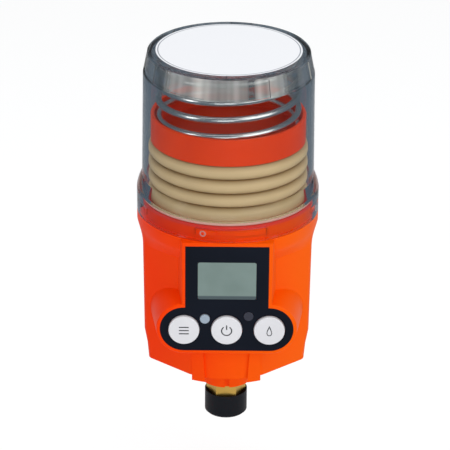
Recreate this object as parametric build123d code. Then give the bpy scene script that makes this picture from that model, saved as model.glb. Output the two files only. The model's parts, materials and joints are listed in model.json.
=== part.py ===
"""Automatic lubricator: a spring-loaded grease bellows under a clear cover, on a motor-driven pump.

Millimetres. +Z is up and the keypad faces -Y. The origin is on the outlet's axis, at its hexagon's seat.
Angles called front angles are in degrees from the front, towards +X.
"""

from build123d import *

import os
from math import acos, cos, pi, radians, sin, tan

# Outlet: hexagon, thread and cap
HEX_ACROSS_FLATS = 19.0
HEX_HEIGHT = 9.5
THREAD_R = 6.58
THREAD_LENGTH = 10.0
THREAD_CHAMFER = 0.8
OUTLET_BORE_R = 1.5
SHANK_R = 7.0
SHANK_LENGTH = 10.5
SHANK_FIT = 0.05
CAP_WALL = 0.75
CAP_FLOOR = 1.2
CAP_OVERLAP = 2.05
CAP_CHAMFER = 1.0
CAP_FIT = 0.06
CAP_FLOOR_GAP = 0.3

# Housing: eight-sided in plan with two narrower steps, and round at its rim, which sets the other radii
RIM_R = 49.0
RIM_HEIGHT = 5.5
RIM_STEP = 2.0
COLLAR_Z = 106.5
COLLAR_INSET = 0.5
SHOULDER_DROP = 8.0
FLANK_TILT = 40.0
FLANK_INSET = 6.0
FRONT_INSET = 8.5
SIDE_TOP_INSET = 3.6
SIDE_STEP_INSET = 4.2
SIDE_UNDER_STEP_INSET = 5.8
SIDE_BOTTOM_INSET = 6.6
EDGE_ROUNDING = 5.0
BOTTOM_Z = 31.5
UNDER_STEP_RISE = 8.5
STEP_RISE = 8.0
WALL = 2.6
FLOOR = 3.0
BOSS_R = 14.2
BOSS_WALL = 2.6
BOSS_END = 2.5
BOSS_NOTCH_X = 0.6
BOSS_NOTCH_WIDTH = 2.4
BOSS_NOTCH_DEPTH = 1.3
BOSS_NOTCH_HEIGHT = 13.0

# Neck that the cover turns on, with the ledge that carries the deck
NECK_GAP = 0.6
NECK_HEIGHT = 6.5
NECK_WALL = 3.7
LEDGE_WIDTH = 4.9
LEDGE_DROP = 2.0
LUG_REACH = 1.7
LUG_ANGLE = -11.8
LUG_SPAN = 7.6
LUG_DROP = 2.8
LUG_HEIGHT = 2.7
LUG_COUNT = 4

# Apron under the keypad
APRON_HALF_WIDTH = 18.5
APRON_INSET = 4.0
APRON_DROP = 2.7
APRON_DEPTH = 8.0
APRON_RECESS = 1.5
APRON_RECESS_TOP = 13.5
APRON_RECESS_BOTTOM = 11.4
APRON_RECESS_DROP = 0.7

# Keypad panel
PANEL_INSET = 0.4
PANEL_DEPTH = 28.0
PANEL_DRAFT = 8.0
PANEL_MARGIN = 1.8
PANEL_WALL = 2.4
PANEL_EDGE = 0.5
OVERLAY_WIDTH = 44.2
OVERLAY_DROP = 1.9
OVERLAY_THICKNESS = 0.35
OVERLAY_SINK = 0.5
OVERLAY_GAP = 0.1
PILL_WIDTH = 71.2
PILL_HEIGHT = 25.6
PILL_Z = 63.5
DISPLAY_WIDTH = 31.0
DISPLAY_HEIGHT = 21.7
DISPLAY_DROP = 20.1
DISPLAY_GAP = 0.1
MODULE_BORDER = 1.0
BUTTON_R = 8.2
BUTTON_INSET = 0.1
BUTTON_DROP = 0.1
BUTTON_PROUD = 1.6
BUTTON_ROUND = 0.6
RESET_X = -11.6
RESET_RISE = 6.3
RESET_R = 2.6
RESET_PROUD = 0.8
LAMP_X = 11.6
LAMP_RISE = 7.9
LAMP_R = 2.6
LAMP_PROUD = 0.3
LAMP_ROUND = 0.2
LAMP_FIT = 0.1
KEY_GAP = 0.25
KEY_SEAT = 0.1
FLANGE_LIP = 0.8
FLANGE_THICKNESS = 0.8
STEM_R = 1.5
BUTTON_TRAVEL = 0.5

# Circuit board behind the panel
BOARD_GAP = 4.0
BOARD_THICKNESS = 1.6
BOARD_INSET = 1.0
BOARD_FIXING_INSET = 3.5
BOARD_FIXING_DROP = 2.5
BOARD_LOW_FIXING_DROP = 7.5
BOARD_BOSS_R = 2.0
BOARD_SCREW_R = 0.9
BOARD_SCREW_HEAD_R = 1.8
BOARD_SCREW_HEAD = 1.2
BOARD_SCREW_BITE = 2.6
SCREW_FIT = 0.05
SWITCH_WIDTH = 6.0
SWITCH_HEIGHT = 1.0
SWITCH_NUB_R = 1.4
SWITCH_NUB = 0.4

# Cover
COVER_TOP_Z = 204.0
COVER_EDGE = 0.8
BAND_HEIGHT = 12.4
BAND_TAPER = 2.35
BAND_RECESS = 0.65
BAND_RIBS = 8
BAND_RIB_SPAN = 14.8
BAND_RIB_ANGLE = -9.2
BAND_TOP_EDGE = 1.2
BAND_LOW_EDGE = 1.0
DOME_TAPER = 0.75
DOME_INSET = 2.8
FLARE_HEIGHT = 7.4
SKIRT_RISE = 6.1
SKIRT_BULGE = 0.9
SKIRT_GAP = 0.15
DOME_WALL = 2.3
CEILING = 2.4
SKIRT_WALL = 2.8
SLOT_LOW = -21.0
SLOT_HIGH = 25.6
ENTRY_LOW = 5.2
LUG_GAP = 0.35
LUG_LOW_GAP = 0.3
LUG_HIGH_GAP = 0.6
LABEL_MARGIN = 4.4
LABEL_THICKNESS = 0.25
LABEL_SINK = 0.3
LABEL_GAP = 0.1

# Seal between cartridge and cover
SEAL_WIRE = 0.9
SEAL_INSET = 1.0
SEAL_GAP = 0.2

# Grease cartridge
BASE_GAP = 0.3
BASE_FLANGE_GAP = 0.1
BASE_FLANGE = 1.8
BASE_SKIRT_GAP = 0.3
BASE_SKIRT_WALL = 2.0
BASE_PLATE = 2.6
BASE_SEAT_GAP = 0.2
SPOUT_R = 6.0
SPOUT_BORE_R = 3.2
SPOUT_LENGTH = 12.0
BELLOWS_GAP = 0.2
BELLOWS_SIDE_GAP = 1.2
BELLOWS_FOLD = 2.8
BELLOWS_WAVES = 4
BELLOWS_PITCH = 8.0
PRESSER_GAP = 0.1
PRESSER_INSET = 1.3
PRESSER_WALL = 2.0
PRESSER_FLOOR = 2.4
PRESSER_HEIGHT = 14.6
PRESSER_EDGE = 0.4
SPRING_SIDE_GAP = 0.6
SPRING_WIRE = 1.7
SPRING_PITCH = 9.4
SPRING_GAP = 0.1
SPRING_GRIND = 0.9
SPRING_TURN = 190.0

# Deck that closes the housing
DECK_GAP = 0.2
DECK_SEAT = 0.05
DECK_THICKNESS = 3.0
DECK_HUB_R = 9.0
DECK_HUB_DEPTH = 8.0
DECK_FIXINGS = 3
DECK_FIXING_INSET = 1.7
DECK_FIXING_ANGLE = 60.0
DECK_BOSS_R = 3.8
DECK_BOSS_DEPTH = 4.0
DECK_SCREW_R = 1.5
DECK_SCREW_HEAD_R = 2.8
DECK_SCREW_HEAD = 1.8
DECK_SCREW_BITE = 4.0
SPOUT_FIT = 0.15
SPOUT_SEAT = 1.0

# Pump
BLOCK_HALF_WIDTH = 12.5
BLOCK_FRONT_Y = -13.0
BLOCK_BACK_Y = 6.0
BLOCK_HEIGHT = 27.5
BLOCK_ROUND = 2.0
PUMP_STEM_FIT = 0.1
PLUNGER_R = 3.0
PLUNGER_FIT = 0.03
PLUNGER_DROP = 8.0
PLUNGER_TIP_Y = -3.9
CYLINDER_END_Y = -8.0
PLUNGER_HEAD_R = 5.0
PLUNGER_HEAD = 2.0
FEED_R = 4.2
FEED_BORE_R = 3.2
FEED_DEPTH = 3.0
FEED_GAP = 0.2
PORT_R = 1.2
INLET_PORT_Y = -2.4
OUTLET_PORT_Y = -6.4
GALLERY_RISE = 8.0
VALVE_BALL_R = 2.2
VALVE_CHAMBER_R = 2.7
VALVE_CHAMBER_Z = 4.0
VALVE_GAP = 0.05
VALVE_SPRING_R = 1.9
VALVE_SPRING_WIRE = 0.3
VALVE_SPRING_PITCH = 2.4
RETURN_SPRING_R = 4.0
RETURN_SPRING_WIRE = 0.35
RETURN_SPRING_PITCH = 1.5

# Drive train
CAM_AXIS_Y = 20.0
CAM_R = 6.0
CAM_THROW = 1.5
CAM_REST_ANGLE = 45.0
CAM_THICKNESS = 6.0
CAM_GAP = 0.1
CAM_SHAFT_R = 2.0
MODULE = 0.8
PRESSURE_ANGLE = 25.0
PINION_TEETH = 12
WHEEL_TEETH = 34
CAM_WHEEL_TEETH = 36
BACKLASH = 0.16
ADDENDUM = 0.78
DEDENDUM = 1.05
IDLER_DIRECTION = 206.0
MOTOR_DIRECTION = 259.0
PLATE = 2.0
PLATE_SPACE = 11.0
CAM_WHEEL_LIFT = 1.0
CAM_WHEEL_THICKNESS = 4.0
IDLER_WHEEL_LIFT = 6.0
IDLER_WHEEL_THICKNESS = 3.0
PINION_OVERLAP = 0.3
IDLER_PIN_R = 1.5
BEARING_FIT = 0.05
MOTOR_R = 12.0
MOTOR_LENGTH = 24.0
MOTOR_EDGE = 1.0
MOTOR_NOSE_R = 3.0
MOTOR_SHAFT_R = 1.0
PILLAR_R = 2.5
PILLARS = ((14.5, 4.0), (-14.0, -21.0), (-15.5, 30.6))
CAM_ROUND = 17.0
IDLER_ROUND = 15.4
MOTOR_ROUND = 13.4
PILLAR_ROUND = 4.6
BLOCK_SCREW_POINTS = ((-9.5, -9.0), (9.5, -9.0))
DRIVE_SCREW_R = 1.2
DRIVE_SCREW_HEAD_R = 2.4
DRIVE_SCREW_HEAD = 1.6
DRIVE_SCREW_BITE = 6.0

# Batteries
CELL_R = 7.2
CELL_LENGTH = 49.0
CELL_TIP_R = 2.6
CELL_TIP = 1.0
CELL_SIDE_GAP = 1.8
CELL_PLACES = ((-7.5, -16.0), (0.0, -3.0), (-0.5, 12.6))
CELL_GAP = 0.1
HOLDER_WALL = 1.2
HOLDER_FLOOR = 2.0
HOLDER_DEPTH = 16.0

# Places worked out from the sizes above
COLLAR_R = RIM_R - COLLAR_INSET
FLANK_DISTANCE = RIM_R - FLANK_INSET
FRONT_DISTANCE = RIM_R - FRONT_INSET
SIDE_TOP = RIM_R - SIDE_TOP_INSET
SIDE_STEP = RIM_R - SIDE_STEP_INSET
SIDE_UNDER_STEP = RIM_R - SIDE_UNDER_STEP_INSET
SIDE_BOTTOM = RIM_R - SIDE_BOTTOM_INSET
FLOOR_Z = BOTTOM_Z + FLOOR
UNDER_STEP_Z = BOTTOM_Z + UNDER_STEP_RISE
STEP_Z = UNDER_STEP_Z + STEP_RISE
SHOULDER_Z = COLLAR_Z - SHOULDER_DROP
RIM_Z = COLLAR_Z + RIM_STEP
RIM_TOP_Z = RIM_Z + RIM_HEIGHT
NECK_TOP_Z = RIM_TOP_Z + NECK_HEIGHT
LEDGE_Z = RIM_TOP_Z - LEDGE_DROP
LUG_LOW_Z = NECK_TOP_Z - LUG_DROP
APRON_R = RIM_R - APRON_INSET
APRON_BOTTOM_Z = BOTTOM_Z - APRON_DROP
APRON_RECESS_Z = BOTTOM_Z - APRON_RECESS_DROP
OVERLAY_TOP_Z = RIM_TOP_Z - OVERLAY_DROP
DISPLAY_Z = OVERLAY_TOP_Z - DISPLAY_DROP
BUTTON_PITCH = (PILL_WIDTH - PILL_HEIGHT) / 2 - BUTTON_INSET
BUTTON_Z = PILL_Z - BUTTON_DROP
RESET_Z = PILL_Z + RESET_RISE
LAMP_Z = PILL_Z + LAMP_RISE
PANEL_Y = PANEL_INSET - RIM_R
PANEL_HALF_WIDTH = PILL_WIDTH / 2 + PANEL_MARGIN
PANEL_TOP_Z = OVERLAY_TOP_Z + PANEL_MARGIN
PANEL_BACK_Y = PANEL_Y + PANEL_WALL
OVERLAY_BACK_Y = PANEL_Y + OVERLAY_SINK
OVERLAY_Y = OVERLAY_BACK_Y - OVERLAY_THICKNESS
BOARD_Y = PANEL_BACK_Y + BOARD_GAP
BOARD_BACK_Y = BOARD_Y + BOARD_THICKNESS
BOARD_TOP_Z = COLLAR_Z - BOARD_INSET
SWITCH_Y = BOARD_Y - SWITCH_HEIGHT
NUB_Y = SWITCH_Y - SWITCH_NUB
KEY_FLANGE_Y = PANEL_BACK_Y + KEY_SEAT
KEY_STEM_Y = NUB_Y - BUTTON_TRAVEL - KEY_SEAT
BUTTONS = {"left_button": -BUTTON_PITCH, "centre_button": 0.0, "right_button": BUTTON_PITCH}
BOARD_HIGH_FIXING = (OVERLAY_WIDTH / 2 - BOARD_FIXING_INSET, BOARD_TOP_Z - BOARD_FIXING_DROP)
BOARD_LOW_FIXING = (BUTTON_PITCH / 2, PILL_Z - BOARD_LOW_FIXING_DROP)
BOARD_FIXINGS = [(side * x, z) for x, z in (BOARD_HIGH_FIXING, BOARD_LOW_FIXING) for side in (-1, 1)]
HEX_CORNER_R = HEX_ACROSS_FLATS / 2 / cos(radians(30))
CAP_BORE_R = HEX_CORNER_R + CAP_FIT
CAP_R = CAP_BORE_R + CAP_WALL
CAP_FLOOR_Z = -THREAD_LENGTH - CAP_FLOOR_GAP
SKIRT_R = RIM_R
SKIRT_LOW_Z = RIM_TOP_Z + SKIRT_GAP
SKIRT_BORE_R = SKIRT_R - SKIRT_WALL
SKIRT_TOP_Z = NECK_TOP_Z + SKIRT_RISE
DOME_FOOT_R = SKIRT_R - DOME_INSET
DOME_FOOT_Z = SKIRT_TOP_Z + FLARE_HEIGHT
BAND_R = DOME_FOOT_R - DOME_TAPER
BAND_Z = COVER_TOP_Z - BAND_HEIGHT
COVER_TOP_R = BAND_R - BAND_TAPER
CEILING_Z = COVER_TOP_Z - CEILING
LABEL_R = COVER_TOP_R - LABEL_MARGIN
NECK_R = SKIRT_BORE_R - NECK_GAP
NECK_BORE_R = NECK_R - NECK_WALL
LEDGE_R = NECK_BORE_R - LEDGE_WIDTH
SLOT_DEPTH = LUG_REACH - NECK_GAP + LUG_GAP
SLOT_LOW_Z = LUG_LOW_Z - LUG_LOW_GAP
SLOT_HIGH_Z = LUG_LOW_Z + LUG_HEIGHT + LUG_HIGH_GAP
BASE_R = SKIRT_BORE_R - BASE_GAP
BASE_SKIRT_R = NECK_BORE_R - BASE_SKIRT_GAP
SEAL_R = BASE_R - SEAL_INSET
BELLOWS_R = DOME_FOOT_R - DOME_WALL - BELLOWS_SIDE_GAP
BELLOWS_GROOVE_R = BELLOWS_R - BELLOWS_FOLD
PRESSER_R = BELLOWS_R - PRESSER_INSET
SPRING_R = PRESSER_R - PRESSER_WALL - SPRING_SIDE_GAP - SPRING_WIRE
DECK_FIXING_R = LEDGE_R - DECK_FIXING_INSET
BASE_FLANGE_Z = NECK_TOP_Z + BASE_FLANGE_GAP
BASE_TOP_Z = BASE_FLANGE_Z + BASE_FLANGE
SEAL_Z = BASE_TOP_Z + SEAL_WIRE
SEAL_SHOULDER_Z = SEAL_Z + SEAL_WIRE + SEAL_GAP
SEAL_SHOULDER_R = SEAL_R - SEAL_WIRE
BELLOWS_Z = BASE_TOP_Z + BELLOWS_GAP
BELLOWS_TOP_Z = BELLOWS_Z + BELLOWS_WAVES * BELLOWS_PITCH
PRESSER_Z = BELLOWS_TOP_Z + PRESSER_GAP
PRESSER_FLOOR_Z = PRESSER_Z + PRESSER_FLOOR
PRESSER_TOP_Z = PRESSER_Z + PRESSER_HEIGHT
DECK_TOP_Z = LEDGE_Z + DECK_THICKNESS
DECK_HUB_Z = LEDGE_Z - DECK_HUB_DEPTH
SPOUT_Z = BASE_TOP_Z - BASE_PLATE - SPOUT_LENGTH
FEED_TOP_Z = SPOUT_Z - FEED_GAP
BOSS_BORE_R = BOSS_R - BOSS_WALL
BOSS_END_Z = HEX_HEIGHT + BOSS_END
PUMP_STEM_R = BOSS_BORE_R - PUMP_STEM_FIT
VALVE_SEAT_Z = HEX_HEIGHT + SHANK_LENGTH
GALLERY_Z = VALVE_SEAT_Z + GALLERY_RISE
BLOCK_TOP_Z = FLOOR_Z + BLOCK_HEIGHT
PLUNGER_Z = BLOCK_TOP_Z - PLUNGER_DROP
VALVE_BALL_Z = VALVE_SEAT_Z - VALVE_GAP - (VALVE_BALL_R**2 - PORT_R**2) ** 0.5
VALVE_SPRING_BORE_R = VALVE_SPRING_R - VALVE_SPRING_WIRE
VALVE_SPRING_TOP_Z = VALVE_BALL_Z - (VALVE_BALL_R**2 - VALVE_SPRING_BORE_R**2) ** 0.5 - VALVE_GAP
PLUNGER_TAIL_Y = CAM_AXIS_Y - CAM_R - CAM_THROW - CAM_GAP
PLUNGER_SHOULDER_Y = PLUNGER_TAIL_Y - PLUNGER_HEAD
TOP_PLATE_Z = BLOCK_TOP_Z + PLATE + PLATE_SPACE
MOTOR_Z = TOP_PLATE_Z + PLATE
CAM_WHEEL_Z = BLOCK_TOP_Z + PLATE + CAM_WHEEL_LIFT
IDLER_WHEEL_Z = BLOCK_TOP_Z + PLATE + IDLER_WHEEL_LIFT
CAM_AXIS = (0.0, CAM_AXIS_Y)
CELL_Z = FLOOR_Z + HOLDER_FLOOR
CELL_X = SIDE_BOTTOM - WALL - CELL_SIDE_GAP - HOLDER_WALL - CELL_GAP - CELL_R
CELLS = [(CELL_X + x, y) for x, y in CELL_PLACES]


def pitch_r(teeth):
    """The pitch circle's radius of a gear."""
    return MODULE * teeth / 2


def stepped(point, distance, direction):
    """The point that lies a distance away, in a direction in degrees from +X."""
    return (
        point[0] + distance * cos(radians(direction)),
        point[1] + distance * sin(radians(direction)),
    )


IDLER_AXIS = stepped(CAM_AXIS, pitch_r(CAM_WHEEL_TEETH) + pitch_r(PINION_TEETH), IDLER_DIRECTION)
MOTOR_AXIS = stepped(IDLER_AXIS, pitch_r(WHEEL_TEETH) + pitch_r(PINION_TEETH), MOTOR_DIRECTION)


def rod(radius, low, high, at=(0.0, 0.0)):
    """An upright cylinder between two heights."""
    return Pos(at[0], at[1], low) * extrude(Circle(radius), high - low)


def crosswise(radius, y_from, y_to, x, z):
    """A cylinder that runs along Y."""
    plane = Plane((x, y_from, z), x_dir=(1, 0, 0), z_dir=(0, 1, 0))
    return extrude(plane * Circle(radius), y_to - y_from)


def turned(outline, span=360.0):
    """The solid that a closed outline of radius and height makes when it turns round the axis from +X."""
    return revolve(Plane.XZ * make_face(outline), Axis.Z, span)


def sector(inner, outer, low, high, start, stop):
    """A piece of a ring between two front angles."""
    outline = Polyline((inner, low), (outer, low), (outer, high), (inner, high), close=True)
    return Rot(0, 0, start - 90) * turned(outline, stop - start)


def around(count, first=0.0):
    """Turns round the axis that repeat a feature evenly."""
    return [Rot(0, 0, first + 360 / count * i) for i in range(count)]


def panel_plane(y):
    """The keypad's plane at a depth, facing the front: its X is the part's X and its Y the part's Z."""
    return Plane((0, y, 0), x_dir=(1, 0, 0), z_dir=(0, -1, 0))


def panel_outline(grow):
    """The keypad's outline, a rectangle above a pill, grown by a margin."""
    high = OVERLAY_TOP_Z + grow
    rectangle = Pos(0, (PILL_Z + high) / 2) * Rectangle(OVERLAY_WIDTH + 2 * grow, high - PILL_Z)
    pill = Pos(0, PILL_Z) * SlotOverall(PILL_WIDTH + 2 * grow, PILL_HEIGHT + 2 * grow)
    return rectangle + pill


def on_panel(sketch, y, depth):
    """A solid that runs back from a depth of the panel."""
    return extrude(panel_plane(y) * sketch, -depth)


def below(height):
    """All the space under a height, to trim with."""
    return Box(4 * PANEL_HALF_WIDTH, 4 * PANEL_HALF_WIDTH, 2 * height)


def eight_sided(side, inset=0.0):
    """The housing's plan: flat front, back and sides, joined by slanted flanks, with rounded corners."""
    side, flank, front = side - inset, FLANK_DISTANCE - inset, FRONT_DISTANCE - inset
    tilt = radians(FLANK_TILT)
    side_y = (flank - side * sin(tilt)) / cos(tilt)
    front_x = (flank - front * cos(tilt)) / sin(tilt)
    points = [(side, side_y), (front_x, front), (-front_x, front), (-side, side_y)]
    points += [(-x, -y) for x, y in points]
    plan = make_face(Polyline(*points, close=True))
    return fillet(plan.vertices(), EDGE_ROUNDING)


def body_form(low, inset=0.0):
    """The housing's body up to its collar, or the space inside it when it is inset by the wall."""
    heights = (low, UNDER_STEP_Z, STEP_Z, SHOULDER_Z)
    sides = (SIDE_BOTTOM, SIDE_UNDER_STEP, SIDE_STEP, SIDE_TOP)
    plans = [Pos(0, 0, z) * eight_sided(side, inset) for z, side in zip(heights, sides)]
    plans.append(Pos(0, 0, COLLAR_Z) * Circle(COLLAR_R - inset))
    form = loft(plans[:2], ruled=True)
    for lower, upper in zip(plans[1:], plans[2:]):
        form += loft([lower, upper], ruled=True)
    return form


def apron():
    """The wall under the keypad: two legs beside a recessed panel, on a cylinder's surface."""
    middle = Box(2 * APRON_HALF_WIDTH, 2 * APRON_DEPTH, 2 * PILL_Z)
    legs = rod(APRON_R, APRON_BOTTOM_Z, PILL_Z) & Pos(0, -APRON_R, 0) * middle
    outline = Polyline(
        (-APRON_RECESS_TOP, PILL_Z),
        (-APRON_RECESS_BOTTOM, APRON_BOTTOM_Z),
        (APRON_RECESS_BOTTOM, APRON_BOTTOM_Z),
        (APRON_RECESS_TOP, PILL_Z),
        close=True,
    )
    recess = extrude(panel_plane(-APRON_R) * make_face(outline), 2 * APRON_DEPTH, both=True)
    return legs - (recess - rod(APRON_R - APRON_RECESS, APRON_RECESS_Z, 2 * PILL_Z))


def screw(shank_r, head_r, head, reach, at, seat_z):
    """An upright screw whose head sits on a face at a height."""
    head_form = rod(head_r, seat_z, seat_z + head, at)
    head_form = chamfer(head_form.edges().group_by(Axis.Z)[-1], head / 4)
    return head_form + rod(shank_r, seat_z - reach, seat_z, at)


def helix_spring(radius, wire, pitch, low, high, grind):
    """An upright compression spring of round wire, with its ends ground flat."""
    path = Pos(0, 0, low + wire - grind) * Helix(pitch, high - low - 2 * (wire - grind), radius)
    section = Plane(path @ 0, z_dir=path % 0) * Circle(wire)
    coil = sweep(section, path, is_frenet=True)
    return coil & rod(radius + 2 * wire, low, high)


def gear(teeth, low, high, at, tooth_direction, bore):
    """A spur gear with involute teeth, one of which points in a direction in degrees from +X."""
    reference = pitch_r(teeth)
    base = reference * cos(radians(PRESSURE_ANGLE))
    tip = reference + ADDENDUM
    root = reference - DEDENDUM
    half_tooth = pi / 2 / teeth - BACKLASH / 4 / reference

    def involute(radius):
        angle = acos(min(1.0, base / radius))
        return tan(angle) - angle

    first = max(base, root)
    radii = [first + (tip - first) * share for share in (0.0, 0.2, 0.45, 0.72, 1.0)]
    flank = [(r, half_tooth + involute(reference) - involute(r)) for r in radii]
    if root < first:
        flank.insert(0, (root, flank[0][1]))
    points = []
    for tooth in range(teeth):
        middle = radians(tooth_direction) + 2 * pi * tooth / teeth
        points += [(r * cos(middle - a), r * sin(middle - a)) for r, a in flank]
        points += [(r * cos(middle + a), r * sin(middle + a)) for r, a in reversed(flank)]
    blank = make_face(Polyline(*points, close=True)) - Circle(bore)
    return Pos(at[0], at[1], low) * extrude(blank, high - low)


def make_housing():
    """The moulded housing: eight-sided shell, round rim and neck, keypad panel, apron and outlet boss."""
    rim = turned(Polyline(
        (0, COLLAR_Z), (COLLAR_R, COLLAR_Z), (RIM_R, RIM_Z), (RIM_R, RIM_TOP_Z), (0, RIM_TOP_Z), close=True
    ))
    rim -= Pos(0, PANEL_Y - RIM_R / 2, 0) * Box(2 * PANEL_HALF_WIDTH, RIM_R, 2 * NECK_TOP_Z)
    body = body_form(BOTTOM_Z) + rim + rod(NECK_R, RIM_TOP_Z, NECK_TOP_Z)
    body += apron()
    body += rod(BOSS_R, HEX_HEIGHT, FLOOR_Z)
    lug = sector(NECK_R - WALL, NECK_R + LUG_REACH, LUG_LOW_Z, LUG_LOW_Z + LUG_HEIGHT,
                 LUG_ANGLE - LUG_SPAN / 2, LUG_ANGLE + LUG_SPAN / 2)
    for turn in around(LUG_COUNT):
        body += turn * lug

    panel = extrude(panel_plane(PANEL_Y) * panel_outline(PANEL_MARGIN), -PANEL_DEPTH, taper=-PANEL_DRAFT)
    panel &= below(PANEL_TOP_Z)
    body += chamfer(panel.faces().sort_by(Axis.Y)[0].edges(), PANEL_EDGE)

    body -= body_form(FLOOR_Z, WALL)
    body -= rod(LEDGE_R, COLLAR_Z, LEDGE_Z) + rod(NECK_BORE_R, LEDGE_Z, NECK_TOP_Z)
    pocket = panel_plane(PANEL_BACK_Y) * panel_outline(PANEL_MARGIN - PANEL_WALL)
    body -= extrude(pocket, PANEL_WALL - PANEL_DEPTH, taper=-PANEL_DRAFT) & below(COLLAR_Z)
    apron_room = rod(APRON_R - APRON_RECESS - WALL, FLOOR_Z, PILL_Z)
    body -= apron_room & Pos(0, -APRON_R, 0) * Box(2 * (APRON_HALF_WIDTH - WALL), 2 * APRON_R, 2 * PILL_Z)
    for turn in around(DECK_FIXINGS, DECK_FIXING_ANGLE):
        at = (0, -DECK_FIXING_R)
        body += turn * rod(DECK_BOSS_R, COLLAR_Z - DECK_BOSS_DEPTH, LEDGE_Z, at)
        body -= turn * rod(DECK_SCREW_R + SCREW_FIT, LEDGE_Z - DECK_SCREW_BITE - SCREW_FIT, LEDGE_Z, at)

    for x, z in BOARD_FIXINGS:
        body += crosswise(BOARD_BOSS_R, PANEL_BACK_Y - SCREW_FIT, BOARD_Y, x, z)
        body -= crosswise(BOARD_SCREW_R + SCREW_FIT, BOARD_Y - BOARD_SCREW_BITE - SCREW_FIT, BOARD_Y, x, z)

    body -= on_panel(panel_openings(), PANEL_Y, PANEL_WALL)
    body -= on_panel(panel_outline(0), PANEL_Y, OVERLAY_SINK)
    body -= rod(BOSS_BORE_R, BOSS_END_Z, FLOOR_Z)
    body -= rod(SHANK_R + SHANK_FIT, HEX_HEIGHT, BOSS_END_Z)
    notch = Box(BOSS_NOTCH_WIDTH, 2 * BOSS_NOTCH_DEPTH, 2 * BOSS_NOTCH_HEIGHT)
    return body - Pos(BOSS_NOTCH_X, -BOSS_R, HEX_HEIGHT) * notch


def panel_openings():
    """The openings through the panel for the display, the keys and the lamp."""
    openings = Pos(0, DISPLAY_Z) * Rectangle(DISPLAY_WIDTH, DISPLAY_HEIGHT)
    for x in BUTTONS.values():
        openings += Pos(x, BUTTON_Z) * Circle(BUTTON_R + KEY_GAP)
    openings += Pos(RESET_X, RESET_Z) * Circle(RESET_R + KEY_GAP)
    return openings + Pos(LAMP_X, LAMP_Z) * Circle(LAMP_R + LAMP_FIT)


def make_overlay():
    """The printed sheet in the panel's recess."""
    return on_panel(panel_outline(-OVERLAY_GAP) - panel_openings(), OVERLAY_Y, OVERLAY_THICKNESS)


def make_key(x, z, radius, proud, rounding):
    """A push button: a round cap through the panel, a flange behind it and a stem over its switch."""
    cap = crosswise(radius, PANEL_Y - proud, KEY_FLANGE_Y, x, z)
    cap = fillet(cap.edges().group_by(Axis.Y)[0], rounding)
    flange = crosswise(radius + FLANGE_LIP, KEY_FLANGE_Y, KEY_FLANGE_Y + FLANGE_THICKNESS, x, z)
    return cap + flange + crosswise(STEM_R, KEY_FLANGE_Y + FLANGE_THICKNESS, KEY_STEM_Y, x, z)


def make_lamp():
    """The indicator's clear light guide, from the panel's face to the circuit board."""
    guide = crosswise(LAMP_R, PANEL_Y - LAMP_PROUD, BOARD_Y, LAMP_X, LAMP_Z)
    guide = fillet(guide.edges().group_by(Axis.Y)[0], LAMP_ROUND)
    flange_back_y = KEY_FLANGE_Y + FLANGE_THICKNESS
    return guide + crosswise(LAMP_R + FLANGE_LIP, KEY_FLANGE_Y, flange_back_y, LAMP_X, LAMP_Z)


def make_display():
    """The display's pane in its opening, and the display module between pane and circuit board."""
    pane = Pos(0, DISPLAY_Z) * Rectangle(DISPLAY_WIDTH - 2 * DISPLAY_GAP, DISPLAY_HEIGHT - 2 * DISPLAY_GAP)
    borders = 2 * MODULE_BORDER
    module = Pos(0, DISPLAY_Z) * Rectangle(DISPLAY_WIDTH + borders, DISPLAY_HEIGHT + borders)
    return on_panel(pane, OVERLAY_Y, PANEL_BACK_Y - OVERLAY_Y), on_panel(module, PANEL_BACK_Y, BOARD_GAP)


def make_board():
    """The circuit board, which follows the panel's outline."""
    outline = panel_outline(PANEL_MARGIN - PANEL_WALL - BOARD_INSET)
    outline &= Pos(0, BOARD_TOP_Z / 2) * Rectangle(2 * PANEL_HALF_WIDTH, BOARD_TOP_Z)
    for x, z in BOARD_FIXINGS:
        outline -= Pos(x, z) * Circle(BOARD_SCREW_R + SCREW_FIT)
    return on_panel(outline, BOARD_Y, BOARD_THICKNESS)


def make_switches():
    """A push switch on the circuit board behind each key."""
    places = [(x, BUTTON_Z) for x in BUTTONS.values()] + [(RESET_X, RESET_Z)]
    switches = []
    for x, z in places:
        case = on_panel(Pos(x, z) * Rectangle(SWITCH_WIDTH, SWITCH_WIDTH), SWITCH_Y, SWITCH_HEIGHT)
        switches.append(case + crosswise(SWITCH_NUB_R, NUB_Y, SWITCH_Y, x, z))
    return switches


def make_board_screws():
    """The screws that hold the circuit board to its bosses."""
    screws = []
    for x, z in BOARD_FIXINGS:
        head = crosswise(BOARD_SCREW_HEAD_R, BOARD_BACK_Y, BOARD_BACK_Y + BOARD_SCREW_HEAD, x, z)
        screws.append(head + crosswise(BOARD_SCREW_R, BOARD_Y - BOARD_SCREW_BITE, BOARD_BACK_Y, x, z))
    return screws


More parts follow.
